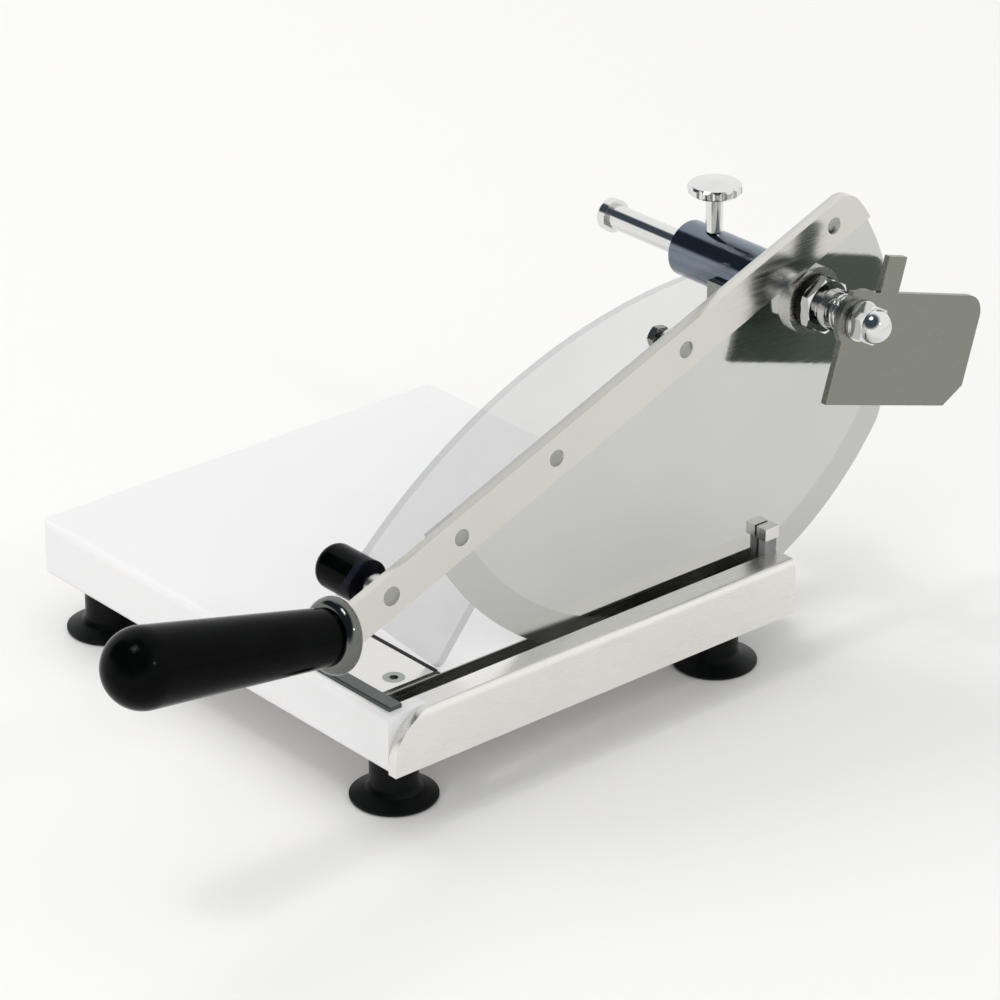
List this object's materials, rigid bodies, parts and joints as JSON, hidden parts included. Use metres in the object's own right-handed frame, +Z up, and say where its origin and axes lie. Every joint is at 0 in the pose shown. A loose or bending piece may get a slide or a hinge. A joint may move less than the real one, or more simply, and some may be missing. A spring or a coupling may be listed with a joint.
{
  "type": "lever bread slicer",
  "caption": "Lever bread slicer: a round-edged blade on a long lever drops beside a thick board on suction feet, with a clear guard and a sliding stop that sets the slice.",
  "frame": {"origin": "on the table, under the middle of the slicer's bounding box", "axes": "+X across the blade from the board to the stop plate, +Y back along the blade from the handle to the pivot, +Z up from the table"},
  "size_m": [0.2944, 0.4748, 0.2212],
  "materials": {
    "white_board": "satin, lightly scratched on top",
    "steel": "brushed",
    "blade_steel": "ground and brushed",
    "polished_steel": "polished",
    "dark_steel": "satin",
    "black_rubber": "satin",
    "black_plastic": "gloss",
    "guide_plastic": "satin",
    "clear_plastic": "clear with a faint lavender tint"
  },
  "bodies": {
    "base": {"board": "white_board", "front_plate": "steel", "front_plate_screws": "polished_steel", "front_strip": "black_rubber", "side_rail": "steel", "rail_brackets": "steel", "bracket_screws": "polished_steel", "blade_guide": "guide_plastic", "guide_cap": "steel", "foot_front_left": "black_rubber", "foot_front_right": "black_rubber", "foot_rear_left": "black_rubber", "foot_rear_right": "black_rubber", "foot_studs": "polished_steel", "rear_post": "dark_steel", "rear_post_bolts": "polished_steel", "rod_housing": "polished_steel", "housing_screws": "polished_steel", "pivot_sleeve": "polished_steel", "thrust_washers": "black_rubber", "pivot_nut": "polished_steel"},
    "lever": {"lever_bar": "steel", "blade": "blade_steel", "blade_rivets": "polished_steel", "pivot_hub": "steel", "hub_nut": "steel", "guard": "clear_plastic", "guard_spacers": "polished_steel", "guard_screw": "polished_steel", "knob_stud": "polished_steel", "ferrule": "polished_steel", "handle_tang": "steel", "grip": "black_plastic"},
    "guard_knob": {"guard_knob": "black_plastic"},
    "stop_rod": {"stop_rod": "polished_steel", "rod_end_cap": "polished_steel", "spring_collar": "polished_steel", "stop_spring": "polished_steel", "stop_washers": "polished_steel", "stop_nut": "polished_steel"},
    "stop_plate": {"stop_plate": "dark_steel"},
    "thumb_screw": {"thumb_screw": "polished_steel"}
  },
  "joints": [
    {"name": "lever_hinge", "type": "hinge", "parent": "base", "child": "lever", "pos_m": [0.09675, 0.15853, 0.175], "axis": [-1, 0, 0], "range_deg": [0, 62]},
    {"name": "knob_turn", "type": "hinge", "parent": "lever", "child": "guard_knob", "pos_m": [0.07245, -0.09016, 0.10825], "axis": [-1, 0, 0], "range_deg": [0, 360]},
    {"name": "stop_slide", "type": "slide", "parent": "base", "child": "stop_rod", "axis": [1, 0, 0], "range_m": [-0.002, 0.048]},
    {"name": "stop_plate_swing", "type": "hinge", "parent": "stop_rod", "child": "stop_plate", "pos_m": [0.12895, 0.15853, 0.175], "axis": [1, 0, 0], "continuous": true},
    {"name": "thumb_screw_turn", "type": "hinge", "parent": "base", "child": "thumb_screw", "pos_m": [0.03475, 0.15853, 0.1885], "axis": [0, 0, 1], "range_deg": [0, 360]}
  ]
}
